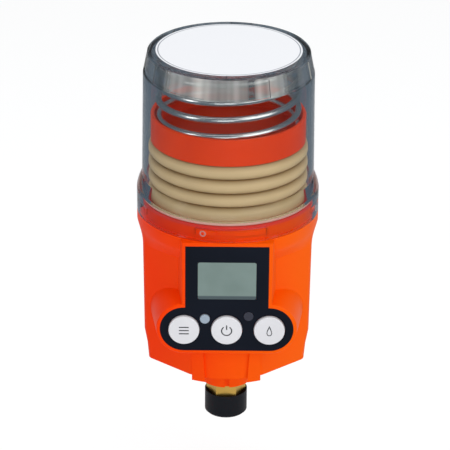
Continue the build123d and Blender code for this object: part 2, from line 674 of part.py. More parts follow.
def make_cover():
    """The clear cover: a tall dome with a ribbed grip band, and a skirt with bayonet slots."""
    flare_z = (DOME_FOOT_Z + SKIRT_TOP_Z) / 2
    flare_r = (DOME_FOOT_R + SKIRT_R + SKIRT_BULGE) / 2
    outline = Polyline(
        (0, COVER_TOP_Z),
        (COVER_TOP_R - COVER_EDGE, COVER_TOP_Z),
        (COVER_TOP_R, COVER_TOP_Z - COVER_EDGE),
        (BAND_R, BAND_Z),
        (DOME_FOOT_R, DOME_FOOT_Z),
    )
    outline += ThreePointArc((DOME_FOOT_R, DOME_FOOT_Z), (flare_r, flare_z), (SKIRT_R, SKIRT_TOP_Z))
    outline += Polyline(
        (SKIRT_R, SKIRT_TOP_Z),
        (SKIRT_R, SKIRT_LOW_Z),
        (SKIRT_BORE_R, SKIRT_LOW_Z),
        (SKIRT_BORE_R, SEAL_SHOULDER_Z),
        (SEAL_SHOULDER_R, SEAL_SHOULDER_Z),
        (DOME_FOOT_R - DOME_WALL, DOME_FOOT_Z),
        (BAND_R - DOME_WALL, BAND_Z),
        (COVER_TOP_R - DOME_WALL, CEILING_Z),
        (0, CEILING_Z),
        (0, COVER_TOP_Z),
    )
    cover = turned(outline)

    slope = (COVER_TOP_R - BAND_R) / (COVER_TOP_Z - COVER_EDGE - BAND_Z)
    low_z = BAND_Z + BAND_LOW_EDGE
    top_z = COVER_TOP_Z - COVER_EDGE - BAND_TOP_EDGE
    low_r = BAND_R - BAND_RECESS + slope * BAND_LOW_EDGE
    top_r = low_r + slope * (top_z - low_z)
    outer_r = BAND_R + BAND_RECESS
    scoop = turned(
        Polyline((low_r, low_z), (outer_r, low_z), (outer_r, top_z), (top_r, top_z), close=True),
        360 / BAND_RIBS - BAND_RIB_SPAN,
    )
    for turn in around(BAND_RIBS, BAND_RIB_ANGLE + BAND_RIB_SPAN / 2 - 90):
        cover -= turn * scoop

    inner, outer = SKIRT_BORE_R - SLOT_DEPTH, SKIRT_BORE_R + SLOT_DEPTH
    slot = sector(inner, outer, SLOT_LOW_Z, SLOT_HIGH_Z, SLOT_LOW, SLOT_HIGH)
    slot += sector(inner, outer, RIM_TOP_Z, SLOT_HIGH_Z, ENTRY_LOW, SLOT_HIGH)
    for turn in around(LUG_COUNT):
        cover -= turn * slot
    return cover - rod(LABEL_R + LABEL_GAP, COVER_TOP_Z - LABEL_SINK, COVER_TOP_Z)


def make_base():
    """The cartridge's base: a flange on the housing's neck, a ring on the deck and the outlet spout."""
    low_z = DECK_TOP_Z + BASE_SEAT_GAP
    plate_z = BASE_TOP_Z - BASE_PLATE
    return turned(Polyline(
        (SPOUT_BORE_R, SPOUT_Z),
        (SPOUT_R, SPOUT_Z),
        (SPOUT_R, plate_z),
        (BASE_SKIRT_R - BASE_SKIRT_WALL, plate_z),
        (BASE_SKIRT_R - BASE_SKIRT_WALL, low_z),
        (BASE_SKIRT_R, low_z),
        (BASE_SKIRT_R, BASE_FLANGE_Z),
        (BASE_R, BASE_FLANGE_Z),
        (BASE_R, BASE_TOP_Z),
        (SPOUT_BORE_R, BASE_TOP_Z),
        close=True,
    ))


def make_bellows():
    """The grease bellows as one filled body with rounded folds."""
    quarter = BELLOWS_PITCH / 4
    waist_r = (BELLOWS_R + BELLOWS_GROOVE_R) / 2
    outline = Polyline(
        (BELLOWS_GROOVE_R, BELLOWS_TOP_Z),
        (0, BELLOWS_TOP_Z),
        (0, BELLOWS_Z),
        (BELLOWS_GROOVE_R, BELLOWS_Z),
    )
    for wave in range(BELLOWS_WAVES):
        low = BELLOWS_Z + wave * BELLOWS_PITCH
        outline += Spline(
            (BELLOWS_GROOVE_R, low),
            (waist_r, low + quarter / 2),
            (BELLOWS_R, low + 2 * quarter),
            (waist_r, low + 4 * quarter - quarter / 2),
            (BELLOWS_GROOVE_R, low + 4 * quarter),
        )
    return turned(outline)


def make_presser():
    """The cup that the spring pushes down on the bellows."""
    cup = rod(PRESSER_R, PRESSER_Z, PRESSER_TOP_Z)
    cup -= rod(PRESSER_R - PRESSER_WALL, PRESSER_FLOOR_Z, PRESSER_TOP_Z)
    return chamfer(cup.edges().group_by(Axis.Z)[-1], PRESSER_EDGE)


def make_spring():
    """The compression spring between the presser and the cover's ceiling."""
    low, high = PRESSER_FLOOR_Z + SPRING_GAP, CEILING_Z - SPRING_GAP
    spring = helix_spring(SPRING_R, SPRING_WIRE, SPRING_PITCH, low, high, SPRING_GRIND)
    return Rot(0, 0, SPRING_TURN) * spring


def make_deck():
    """The deck over the housing, with the hub that joins the cartridge's spout to the pump's feed tube."""
    deck = rod(NECK_BORE_R - DECK_GAP, LEDGE_Z + DECK_SEAT, DECK_TOP_Z)
    deck += rod(DECK_HUB_R, DECK_HUB_Z, DECK_TOP_Z)
    deck -= rod(SPOUT_R + SPOUT_FIT, SPOUT_Z - SPOUT_SEAT, DECK_TOP_Z)
    deck -= rod(FEED_R + SPOUT_FIT, DECK_HUB_Z, DECK_TOP_Z)
    for turn in around(DECK_FIXINGS, DECK_FIXING_ANGLE):
        deck -= turn * rod(DECK_SCREW_R + SCREW_FIT, LEDGE_Z, DECK_TOP_Z, (0, -DECK_FIXING_R))
    return deck


def make_deck_screws():
    """The screws that hold the deck down."""
    reach = DECK_THICKNESS + DECK_SCREW_BITE
    one = screw(DECK_SCREW_R, DECK_SCREW_HEAD_R, DECK_SCREW_HEAD, reach, (0, -DECK_FIXING_R), DECK_TOP_Z)
    return [turn * one for turn in around(DECK_FIXINGS, DECK_FIXING_ANGLE)]


def make_pump():
    """The pump's block with its feed tube, cylinder, gallery and outlet, on a stem that fills the boss."""
    middle_y = (BLOCK_BACK_Y + BLOCK_FRONT_Y) / 2
    plan = Pos(0, middle_y) * Rectangle(2 * BLOCK_HALF_WIDTH, BLOCK_BACK_Y - BLOCK_FRONT_Y)
    block = Pos(0, 0, FLOOR_Z) * extrude(fillet(plan.vertices(), BLOCK_ROUND), BLOCK_TOP_Z - FLOOR_Z)
    pump = block + rod(PUMP_STEM_R, BOSS_END_Z, FLOOR_Z) + rod(FEED_R, BLOCK_TOP_Z, FEED_TOP_Z)
    pump -= rod(FEED_BORE_R, BLOCK_TOP_Z - FEED_DEPTH, FEED_TOP_Z)
    pump -= rod(PORT_R, PLUNGER_Z, BLOCK_TOP_Z - FEED_DEPTH, (0, INLET_PORT_Y))
    pump -= crosswise(PLUNGER_R + PLUNGER_FIT, CYLINDER_END_Y, BLOCK_BACK_Y, 0, PLUNGER_Z)
    pump -= rod(PORT_R, GALLERY_Z - PORT_R, PLUNGER_Z, (0, OUTLET_PORT_Y))
    pump -= crosswise(PORT_R, OUTLET_PORT_Y, PORT_R, 0, GALLERY_Z)
    pump -= rod(PORT_R, VALVE_SEAT_Z, GALLERY_Z)
    pump -= rod(SHANK_R + SHANK_FIT, BOSS_END_Z, VALVE_SEAT_Z)
    hole_z = BLOCK_TOP_Z - DRIVE_SCREW_BITE - SCREW_FIT
    for point in BLOCK_SCREW_POINTS:
        pump -= rod(DRIVE_SCREW_R + SCREW_FIT, hole_z, BLOCK_TOP_Z, point)
    return pump


def make_plunger():
    """The plunger with the head that the cam pushes."""
    shank = crosswise(PLUNGER_R, PLUNGER_TIP_Y, PLUNGER_SHOULDER_Y, 0, PLUNGER_Z)
    return shank + crosswise(PLUNGER_HEAD_R, PLUNGER_SHOULDER_Y, PLUNGER_TAIL_Y, 0, PLUNGER_Z)


def make_return_spring():
    """The spring that draws the plunger back after the cam."""
    length = PLUNGER_SHOULDER_Y - BLOCK_BACK_Y - 2 * VALVE_GAP
    grind = RETURN_SPRING_WIRE / 2
    spring = helix_spring(RETURN_SPRING_R, RETURN_SPRING_WIRE, RETURN_SPRING_PITCH, 0, length, grind)
    return Pos(0, BLOCK_BACK_Y + VALVE_GAP, PLUNGER_Z) * Rot(-90, 0, 0) * spring


def make_adapter():
    """The outlet: a thread below the hexagon, a shank in the pump's stem and the check valve's chamber."""
    thread = rod(THREAD_R, -THREAD_LENGTH, 0)
    thread = chamfer(thread.edges().group_by(Axis.Z)[0], THREAD_CHAMFER)
    body = extrude(RegularPolygon(HEX_CORNER_R, 6), HEX_HEIGHT) + thread
    body += rod(SHANK_R, HEX_HEIGHT, VALVE_SEAT_Z - SHANK_FIT)
    body -= rod(OUTLET_BORE_R, -THREAD_LENGTH, VALVE_CHAMBER_Z)
    return body - rod(VALVE_CHAMBER_R, VALVE_CHAMBER_Z, VALVE_SEAT_Z)


def make_check_spring():
    """The spring that holds the check ball to its seat."""
    size = (VALVE_SPRING_R, VALVE_SPRING_WIRE, VALVE_SPRING_PITCH)
    return helix_spring(*size, VALVE_CHAMBER_Z + VALVE_GAP, VALVE_SPRING_TOP_Z, VALVE_SPRING_WIRE / 2)


def make_cap():
    """The protective cap over the thread and the hexagon's foot."""
    cap = rod(CAP_R, CAP_FLOOR_Z - CAP_FLOOR, CAP_OVERLAP)
    return chamfer(cap.edges().group_by(Axis.Z)[0], CAP_CHAMFER) - rod(CAP_BORE_R, CAP_FLOOR_Z, CAP_OVERLAP)


def make_camshaft():
    """The eccentric cam on its shaft."""
    low = PLUNGER_Z - CAM_THICKNESS / 2
    lobe = rod(CAM_R, low, low + CAM_THICKNESS, stepped(CAM_AXIS, CAM_THROW, CAM_REST_ANGLE))
    return lobe + rod(CAM_SHAFT_R, low, MOTOR_Z, CAM_AXIS)


def make_cam_gear():
    """The wheel on the camshaft."""
    high = CAM_WHEEL_Z + CAM_WHEEL_THICKNESS
    return gear(CAM_WHEEL_TEETH, CAM_WHEEL_Z, high, CAM_AXIS, IDLER_DIRECTION, CAM_SHAFT_R + BEARING_FIT)


def make_reduction_gear():
    """The wheel and pinion between motor and cam, moulded in one."""
    high = IDLER_WHEEL_Z + IDLER_WHEEL_THICKNESS
    bore = IDLER_PIN_R + BEARING_FIT
    wheel = gear(WHEEL_TEETH, IDLER_WHEEL_Z, high, IDLER_AXIS, MOTOR_DIRECTION, bore)
    facing = IDLER_DIRECTION - 180 + 180 / PINION_TEETH
    return wheel + gear(PINION_TEETH, CAM_WHEEL_Z - PINION_OVERLAP, IDLER_WHEEL_Z, IDLER_AXIS, facing, bore)


def make_motor_pinion():
    """The pinion on the motor's shaft, in mesh with the wheel."""
    low, high = IDLER_WHEEL_Z - PINION_OVERLAP, IDLER_WHEEL_Z + IDLER_WHEEL_THICKNESS + PINION_OVERLAP
    facing = MOTOR_DIRECTION - 180 + 180 / PINION_TEETH
    return gear(PINION_TEETH, low, high, MOTOR_AXIS, facing, MOTOR_SHAFT_R + BEARING_FIT)


def make_gearbox():
    """The lower plate with its pillars and pin, and the upper plate that carries the motor."""
    rounds = [(CAM_AXIS, CAM_ROUND), (IDLER_AXIS, IDLER_ROUND), (MOTOR_AXIS, MOTOR_ROUND)]
    rounds += [(point, PILLAR_ROUND) for point in PILLARS + BLOCK_SCREW_POINTS]
    plan = make_hull([edge for at, radius in rounds for edge in (Pos(*at) * Circle(radius)).edges()])
    plan -= Circle(FEED_R + KEY_GAP)
    plan -= Pos(*CAM_AXIS) * Circle(CAM_SHAFT_R + BEARING_FIT)
    lower = Pos(0, 0, BLOCK_TOP_Z) * extrude(plan, PLATE)
    nose_hole = Pos(*MOTOR_AXIS) * Circle(MOTOR_NOSE_R + BEARING_FIT)
    upper = Pos(0, 0, TOP_PLATE_Z) * extrude(plan - nose_hole, PLATE)
    lower += rod(IDLER_PIN_R, BLOCK_TOP_Z + PLATE, TOP_PLATE_Z, IDLER_AXIS)
    hole_r = DRIVE_SCREW_R + SCREW_FIT
    for point in BLOCK_SCREW_POINTS:
        lower -= rod(hole_r, BLOCK_TOP_Z, BLOCK_TOP_Z + PLATE, point)
    for point in PILLARS:
        lower += rod(PILLAR_R, BLOCK_TOP_Z + PLATE, TOP_PLATE_Z, point)
        lower -= rod(hole_r, MOTOR_Z - DRIVE_SCREW_BITE - SCREW_FIT, TOP_PLATE_Z, point)
        upper -= rod(hole_r, TOP_PLATE_Z, MOTOR_Z, point)
    return lower, upper


def make_drive_screws():
    """The screws of the gearbox: two into the pump's block and one into each pillar."""
    size = (DRIVE_SCREW_R, DRIVE_SCREW_HEAD_R, DRIVE_SCREW_HEAD, DRIVE_SCREW_BITE)
    screws = [screw(*size, point, BLOCK_TOP_Z + PLATE) for point in BLOCK_SCREW_POINTS]
    return screws + [screw(*size, point, MOTOR_Z) for point in PILLARS]


def make_motor():
    """The motor's can with its nose in the upper plate, and its shaft."""
    can = rod(MOTOR_R, MOTOR_Z, MOTOR_Z + MOTOR_LENGTH, MOTOR_AXIS)
    can = fillet(can.edges().group_by(Axis.Z)[-1], MOTOR_EDGE)
    can += rod(MOTOR_NOSE_R, TOP_PLATE_Z, MOTOR_Z, MOTOR_AXIS)
    return can, rod(MOTOR_SHAFT_R, IDLER_WHEEL_Z - PINION_OVERLAP, TOP_PLATE_Z, MOTOR_AXIS)


def make_cells():
    """Three upright battery cells with their raised contacts."""
    top_z = CELL_Z + CELL_LENGTH
    return [rod(CELL_R, CELL_Z, top_z, at) + rod(CELL_TIP_R, top_z, top_z + CELL_TIP, at) for at in CELLS]


def make_holder():
    """The tray that the cells stand in."""
    outer = CELL_R + CELL_GAP + HOLDER_WALL
    plan = make_hull([edge for at in CELLS for edge in (Pos(*at) * Circle(outer)).edges()])
    holder = Pos(0, 0, FLOOR_Z) * extrude(plan, HOLDER_DEPTH)
    for at in CELLS:
        holder -= rod(CELL_R + CELL_GAP, CELL_Z, FLOOR_Z + HOLDER_DEPTH, at)
    return holder


def build():
    """Every node's solids, by name."""
    nodes = {"housing": make_housing(), "face_overlay": make_overlay(), "indicator_lamp": make_lamp()}
    nodes["display_window"], nodes["display_module"] = make_display()
    for name, x in BUTTONS.items():
        nodes[name] = make_key(x, BUTTON_Z, BUTTON_R, BUTTON_PROUD, BUTTON_ROUND)
    nodes["reset_button"] = make_key(RESET_X, RESET_Z, RESET_R, RESET_PROUD, LAMP_ROUND)
    nodes["control_board"] = make_board()
    nodes["key_switches"] = make_switches()
    nodes["board_screws"] = make_board_screws()
    nodes["cover"] = make_cover()
    nodes["top_label"] = rod(LABEL_R, COVER_TOP_Z - LABEL_SINK, COVER_TOP_Z - LABEL_SINK + LABEL_THICKNESS)
    nodes["cover_seal"] = Pos(0, 0, SEAL_Z) * Torus(SEAL_R, SEAL_WIRE)
    nodes["bellows_base"] = make_base()
    nodes["bellows"] = make_bellows()
    nodes["presser_cup"] = make_presser()
    nodes["compression_spring"] = make_spring()
    nodes["deck_plate"] = make_deck()
    nodes["deck_screws"] = make_deck_screws()
    nodes["pump_block"] = make_pump()
    nodes["plunger"] = make_plunger()
    nodes["return_spring"] = make_return_spring()
    nodes["outlet_adapter"] = make_adapter()
    nodes["check_ball"] = Pos(0, 0, VALVE_BALL_Z) * Sphere(VALVE_BALL_R)
    nodes["check_spring"] = make_check_spring()
    nodes["protective_cap"] = make_cap()
    nodes["gearbox_base"], nodes["gearbox_plate"] = make_gearbox()
    nodes["gearbox_screws"] = make_drive_screws()
    nodes["motor_can"], nodes["motor_shaft"] = make_motor()
    nodes["motor_pinion"] = make_motor_pinion()
    nodes["reduction_gear"] = make_reduction_gear()
    nodes["camshaft"] = make_camshaft()
    nodes["cam_gear"] = make_cam_gear()
    nodes["battery_cells"] = make_cells()
    nodes["battery_holder"] = make_holder()
    return nodes


os.makedirs("parts", exist_ok=True)
for node, shape in build().items():
    pieces = shape if isinstance(shape, list) else [shape]
    solids = [solid for piece in pieces for solid in piece.solids()]
    export_step(Compound(children=solids), f"parts/{node}.step")
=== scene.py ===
"""Automatic lubricator: finishes, bellows, coils, a fine clear cover, key marks and a plain studio."""

import json
import math

import bmesh
import bpy
import numpy as np
from mathutils import Euler, Matrix, Vector

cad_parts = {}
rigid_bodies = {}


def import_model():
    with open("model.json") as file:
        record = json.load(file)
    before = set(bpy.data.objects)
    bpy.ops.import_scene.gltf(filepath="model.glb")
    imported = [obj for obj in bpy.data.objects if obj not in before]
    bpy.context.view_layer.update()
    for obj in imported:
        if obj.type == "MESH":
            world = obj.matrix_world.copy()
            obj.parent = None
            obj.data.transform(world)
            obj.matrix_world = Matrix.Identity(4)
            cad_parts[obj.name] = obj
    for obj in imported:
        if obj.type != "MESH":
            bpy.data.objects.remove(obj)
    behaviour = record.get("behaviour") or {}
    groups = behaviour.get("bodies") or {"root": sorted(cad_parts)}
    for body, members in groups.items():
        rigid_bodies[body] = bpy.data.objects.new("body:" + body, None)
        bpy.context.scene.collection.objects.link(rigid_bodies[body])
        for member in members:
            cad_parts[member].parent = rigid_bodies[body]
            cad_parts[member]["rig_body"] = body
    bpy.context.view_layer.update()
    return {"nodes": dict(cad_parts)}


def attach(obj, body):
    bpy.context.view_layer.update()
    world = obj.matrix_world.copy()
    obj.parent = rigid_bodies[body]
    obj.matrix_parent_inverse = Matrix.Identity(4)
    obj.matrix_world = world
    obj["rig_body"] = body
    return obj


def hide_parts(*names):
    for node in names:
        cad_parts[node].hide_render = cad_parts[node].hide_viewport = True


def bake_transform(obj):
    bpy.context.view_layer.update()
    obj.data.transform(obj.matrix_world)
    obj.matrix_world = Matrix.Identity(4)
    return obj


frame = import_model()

MM = 0.001

# ---- the cover's steps: heights in millimetres, angles in degrees from the front toward +X ----

BAND_LOW, BAND_HIGH = 192.0, 203.0
SKIRT_TOP = 122.4
RIM_R = 49.0
RIB_EVERY, RIB_MIDDLE, RIB_HALF = 45.0, -9.2, 7.4
SLOT_EVERY, SLOT_START, ENTRY_STOP, SLOT_STOP = 90.0, -21.0, 5.2, 25.6
SLOT_MIDDLE, SLOT_HALF = (SLOT_START + SLOT_STOP) / 2, (SLOT_STOP - SLOT_START) / 2
SLOT_LOW, SLOT_HIGH = 117.4, 121.0


# ---- surfaces ----

def placed(name, data):
    """A new object in the scene that carries some data."""
    obj = bpy.data.objects.new(name, data)
    bpy.context.scene.collection.objects.link(obj)
    return obj


def piece(name, points, faces, finish, smooth_angle=None):
    """A mesh object at the origin from points in millimetres and the faces that join them."""
    mesh = bpy.data.meshes.new(name)
    faces = faces if isinstance(faces, list) else faces.tolist()
    mesh.from_pydata((np.asarray(points) * MM).tolist(), [], faces)
    mesh.validate()
    mesh.shade_smooth()
    if smooth_angle is not None:
        mesh.set_sharp_from_angle(angle=math.radians(smooth_angle))
    mesh.materials.append(finish)
    return placed(name, mesh)


def grid_faces(rows, columns, wrap_columns=False):
    """Four-sided faces that join a grid of rows by columns, closed round the columns when asked."""
    i = np.arange(rows - 1)
    j = np.arange(columns if wrap_columns else columns - 1)
    a, b = np.meshgrid(i, j, indexing="ij")
    a2, b2 = a + 1, (b + 1) % columns
    corners = [a * columns + b, a * columns + b2, a2 * columns + b2, a2 * columns + b]
    return np.stack(corners, -1).reshape(-1, 4)


def turned(profile, segments):
    """A profile of (radius, height) rows turned round Z: x = r cos t, y = r sin t, z = h."""
    profile = np.asarray(profile, float)
    t = np.linspace(0, 2 * math.pi, segments, endpoint=False)
    r, h = profile[:, 0][:, None], profile[:, 1][:, None]
    points = np.stack([r * np.cos(t), r * np.sin(t), h + 0 * t], -1)
    return points.reshape(-1, 3), grid_faces(len(profile), segments, wrap_columns=True)[:, ::-1]


def weld(mesh, smooth_angle, outward=False):
    """Merges doubled points and shades curved faces smooth, and can turn a closed skin's faces outward."""
    work = bmesh.new()
    work.from_mesh(mesh)
    bmesh.ops.remove_doubles(work, verts=work.verts, dist=0.002 * MM)
    if outward:
        bmesh.ops.recalc_face_normals(work, faces=work.faces)
    work.to_mesh(mesh)
    work.free()
    if "custom_normal" in mesh.attributes:
        mesh.attributes.remove(mesh.attributes["custom_normal"])
    mesh.shade_smooth()
    mesh.set_sharp_from_angle(angle=math.radians(smooth_angle))


def merged(name, node, finish, rides=True):
    """A copy of a CAD node with its doubled points merged and its curved faces shaded smooth."""
    source = frame["nodes"][node]
    mesh = source.data.copy()
    mesh.name = name
    weld(mesh, 32.0)
    mesh.materials.clear()
    mesh.materials.append(finish)
    obj = placed(name, mesh)
    if rides:
        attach(obj, source["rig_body"])
    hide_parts(node)
    return obj


# ---- finishes ----

def linear(red, green, blue):
    """Screen colour values from 0 to 255 as the linear colour that a shader takes."""
    values = np.array([red, green, blue]) / 255
    return tuple(np.where(values <= 0.04045, values / 12.92, ((values + 0.055) / 1.055) ** 2.4)) + (1.0,)


class Shading:
    """A shader tree, with short ways to add nodes to it."""

    def __init__(self, tree):
        self.tree = tree
        self.tree.nodes.clear()

    def add(self, kind, **values):
        node = self.tree.nodes.new(kind)
        for key, value in values.items():
            setattr(node, key, value)
        return node

    def join(self, source, target):
        self.tree.links.new(source, target)

    def mixed(self, factor, first, second):
        """The first shader where the factor is 0, and the second where it's 1."""
        mix = self.add("ShaderNodeMixShader")
        for source, target in zip((factor, first, second), mix.inputs):
            self.join(source, target)
        return mix.outputs[0]

    def light(self, kind, colour, strength):
        """A shader that gives off one colour."""
        node = self.add(kind)
        node.inputs[0].default_value = colour
        node.inputs[1].default_value = strength
        return node.outputs[0]


class Finish(Shading):
    """A material whose patterns are worked out from Object coordinates."""

    def __init__(self, name):
        self.material = bpy.data.materials.new(name)
        self.material.use_nodes = True
        super().__init__(self.material.node_tree)
        self.output = self.add("ShaderNodeOutputMaterial")
        self.surface = self.add("ShaderNodeBsdfPrincipled")
        self.join(self.surface.outputs[0], self.output.inputs[0])
        self.place = self.add("ShaderNodeTexCoord").outputs["Object"]

    def fix(self, **values):
        """Sets the shader's own sockets, named with underscores for spaces."""
        for key, value in values.items():
            self.surface.inputs[key.replace("_", " ")].default_value = value

    def drive(self, name, source):
        self.join(source, self.surface.inputs[name])

    def grain(self, scale, detail=2.0):
        """Noise from 0 to 1, with a size of about 1/scale metres."""
        noise = self.add("ShaderNodeTexNoise")
        noise.inputs["Scale"].default_value = scale
        noise.inputs["Detail"].default_value = detail
        self.join(self.place, noise.inputs["Vector"])
        return noise.outputs["Fac"]

    def between(self, factor, low, high, start=0.3, stop=0.7):
        """A colour that goes from low to high as the factor goes from start to stop."""
        ramp = self.add("ShaderNodeValToRGB")
        for element, position, colour in zip(ramp.color_ramp.elements, (start, stop), (low, high)):
            element.position = position
            element.color = colour
        self.join(factor, ramp.inputs[0])
        return ramp.outputs[0]

    def tinted(self, factor, under, over):
        """The colour under where the factor is 0, and the colour over where it's 1."""
        mix = self.add("ShaderNodeMix", data_type="RGBA")
        self.join(factor, mix.inputs["Factor"])
        for key, value in (("A", under), ("B", over)):
            if isinstance(value, tuple):
                mix.inputs[key].default_value = value
            else:
                self.join(value, mix.inputs[key])
        return mix.outputs["Result"]

    def number(self, factor, low, high):
        """A value that goes from low to high with the factor."""
        node = self.add("ShaderNodeMapRange")
        node.inputs["To Min"].default_value = low
        node.inputs["To Max"].default_value = high
        self.join(factor, node.inputs[0])
        return node.outputs[0]

    def math(self, operation, a, b=None):
        node = self.add("ShaderNodeMath", operation=operation)
        for socket, value in zip(node.inputs, (a, b)):
            if isinstance(value, (int, float)):
                socket.default_value = value
            elif value is not None:
                self.join(value, socket)
        return node.outputs[0]

    def chain(self, operation, first, *others):
        """One operation carried through several values."""
        for value in others:
            first = self.math(operation, first, value)
        return first

    def near(self, value, middle, reach):
        """1 where a value is within a reach of a middle, and 0 elsewhere."""
        return self.math("LESS_THAN", self.math("ABSOLUTE", self.math("SUBTRACT", value, middle)), reach)

    def length(self, a, b):
        """The square root of a * a + b * b."""
        return self.math("SQRT", self.math("ADD", self.math("MULTIPLY", a, a), self.math("MULTIPLY", b, b)))

    def axes(self):
        split = self.add("ShaderNodeSeparateXYZ")
        self.join(self.place, split.inputs[0])
        return split.outputs

    def radius(self):
        """The distance from the Z axis."""
        x, y, _ = self.axes()
        return self.length(x, y)

    def drift(self, amount):
        """Slow noise round zero."""
        return self.math("MULTIPLY", self.math("SUBTRACT", self.grain(28.0, 3.0), 0.5), amount)

    def gloss(self, scale, low, high, depth_mm):
        """Uneven gloss and a fine relief, both from one fine grain."""
        fine = self.grain(scale)
        self.drive("Roughness", self.number(fine, low, high))
        bump = self.add("ShaderNodeBump")
        bump.inputs["Distance"].default_value = depth_mm * MM
        self.join(fine, bump.inputs["Height"])
        self.drive("Normal", bump.outputs[0])


def moulded(name, colour, shade, roughness, size_mm=0.5, depth_mm=0.004, metal=0.0, coat=0.0, shine=0.5):
    """Moulded or machined stuff: a slow drift between two close colours, fine grain and uneven gloss."""
    finish = Finish(name)
    finish.drive("Base Color", finish.between(finish.grain(28.0, 3.0), linear(*shade), linear(*colour)))
    finish.gloss(1000.0 / size_mm, roughness * 0.85, roughness * 1.15, depth_mm)
    finish.fix(Metallic=metal, Coat_Weight=coat, Coat_Roughness=0.12, Specular_IOR_Level=shine)
    return finish.material


def housing_orange():
    """The housing's orange, with painted light: darker red-orange at x = -40 mm to a brighter, yellower
    orange at x = 40 mm.
    """
    finish = Finish("housing_plastic")
    x, _, _ = finish.axes()
    # painted light: the colour brightens along X toward the lit right side
    painted_light_across = finish.math("ADD", finish.math("DIVIDE", x, 80.0 * MM), 0.5)
    place = finish.math("ADD", painted_light_across, finish.drift(0.25))
    finish.drive("Base Color", finish.between(place, linear(252, 60, 1), linear(252, 97, 2), 0.0, 1.0))
    finish.gloss(1700.0, 0.36, 0.46, 0.006)
    finish.fix(Specular_IOR_Level=0.06)
    return finish.material


def turn_from(finish, angle, middle, period):
    """An angle's turn from a middle, as a part of a period from -0.5 to 0.5."""
    turn = finish.math("DIVIDE", finish.math("SUBTRACT", angle, math.radians(middle)), math.radians(period))
    return finish.math("SUBTRACT", finish.math("FRACT", finish.math("ADD", turn, 0.5)), 0.5)


def cover_painted_edge_shade(finish, angle, z, slot_turn):
    """Painted shade on the cover: dark lines along the ribs' edges and foot in the grip band, and along the
    slots' edges.
    """
    rib_turn = turn_from(finish, angle, RIB_MIDDLE, RIB_EVERY)
    rib_edge = finish.near(finish.math("ABSOLUTE", rib_turn), RIB_HALF / RIB_EVERY, 0.3 / RIB_EVERY)
    ribs = finish.math("MULTIPLY", rib_edge, finish.math("LESS_THAN", BAND_LOW * MM, z))
    foot = finish.near(z, (BAND_LOW + 0.3) * MM, 0.22 * MM)
    aside = finish.math("ABSOLUTE", slot_turn)
    within = finish.math("LESS_THAN", aside, SLOT_HALF / SLOT_EVERY)
    past_entry = finish.math("LESS_THAN", (ENTRY_STOP - SLOT_MIDDLE) / SLOT_EVERY, slot_turn)
    slot_z, slot_reach = (SLOT_LOW + SLOT_HIGH) / 2, (SLOT_HIGH - SLOT_LOW) / 2
    ends = finish.math("MULTIPLY", finish.near(aside, SLOT_HALF / SLOT_EVERY, 0.22 / SLOT_EVERY),
                       finish.near(z, slot_z * MM, slot_reach * MM))
    upper = finish.math("MULTIPLY", within, finish.near(z, SLOT_HIGH * MM, 0.15 * MM))
    lower = finish.chain("MULTIPLY", within, past_entry, finish.near(z, SLOT_LOW * MM, 0.15 * MM))
    slots = finish.math("MULTIPLY", finish.chain("MAXIMUM", ends, upper, lower), 0.55)
    return finish.chain("MAXIMUM", ribs, foot, slots)


def frost_and_painted_reflection(finish, z, slot_turn):
    """How much frost and painted reflection lie on the cover: in the grip band, most where it faces the
    viewer, and a painted glint ring at each lug's end.
    """
    radius = finish.radius()
    # painted reflection: the frost is weighted toward where the band faces the viewer
    facing = finish.add("ShaderNodeLayerWeight")
    facing.inputs["Blend"].default_value = 0.5
    toward = finish.math("POWER", finish.math("SUBTRACT", 1.0, facing.outputs["Facing"]), 2.6)
    lean = finish.math("MULTIPLY", finish.math("SUBTRACT", z, BAND_LOW * MM), 0.21)
    outer = finish.math("LESS_THAN", 43.8 * MM, finish.math("ADD", radius, lean))
    band = finish.chain("MULTIPLY", toward, 0.78, finish.math("LESS_THAN", BAND_LOW * MM, z),
                        finish.math("LESS_THAN", z, BAND_HIGH * MM), outer)
    # painted glint: a pale frost ring at each lug's end
    arc_length = finish.math("MULTIPLY", slot_turn, math.radians(SLOT_EVERY) * RIM_R * MM)
    away = finish.length(finish.math("ADD", arc_length, 15.1 * MM), finish.math("SUBTRACT", z, 118.9 * MM))
    ring = finish.chain("MULTIPLY", finish.near(away, 1.35 * MM, 0.3 * MM),
                        finish.math("LESS_THAN", 48.3 * MM, radius), 0.5)
    return finish.math("MAXIMUM", band, ring)


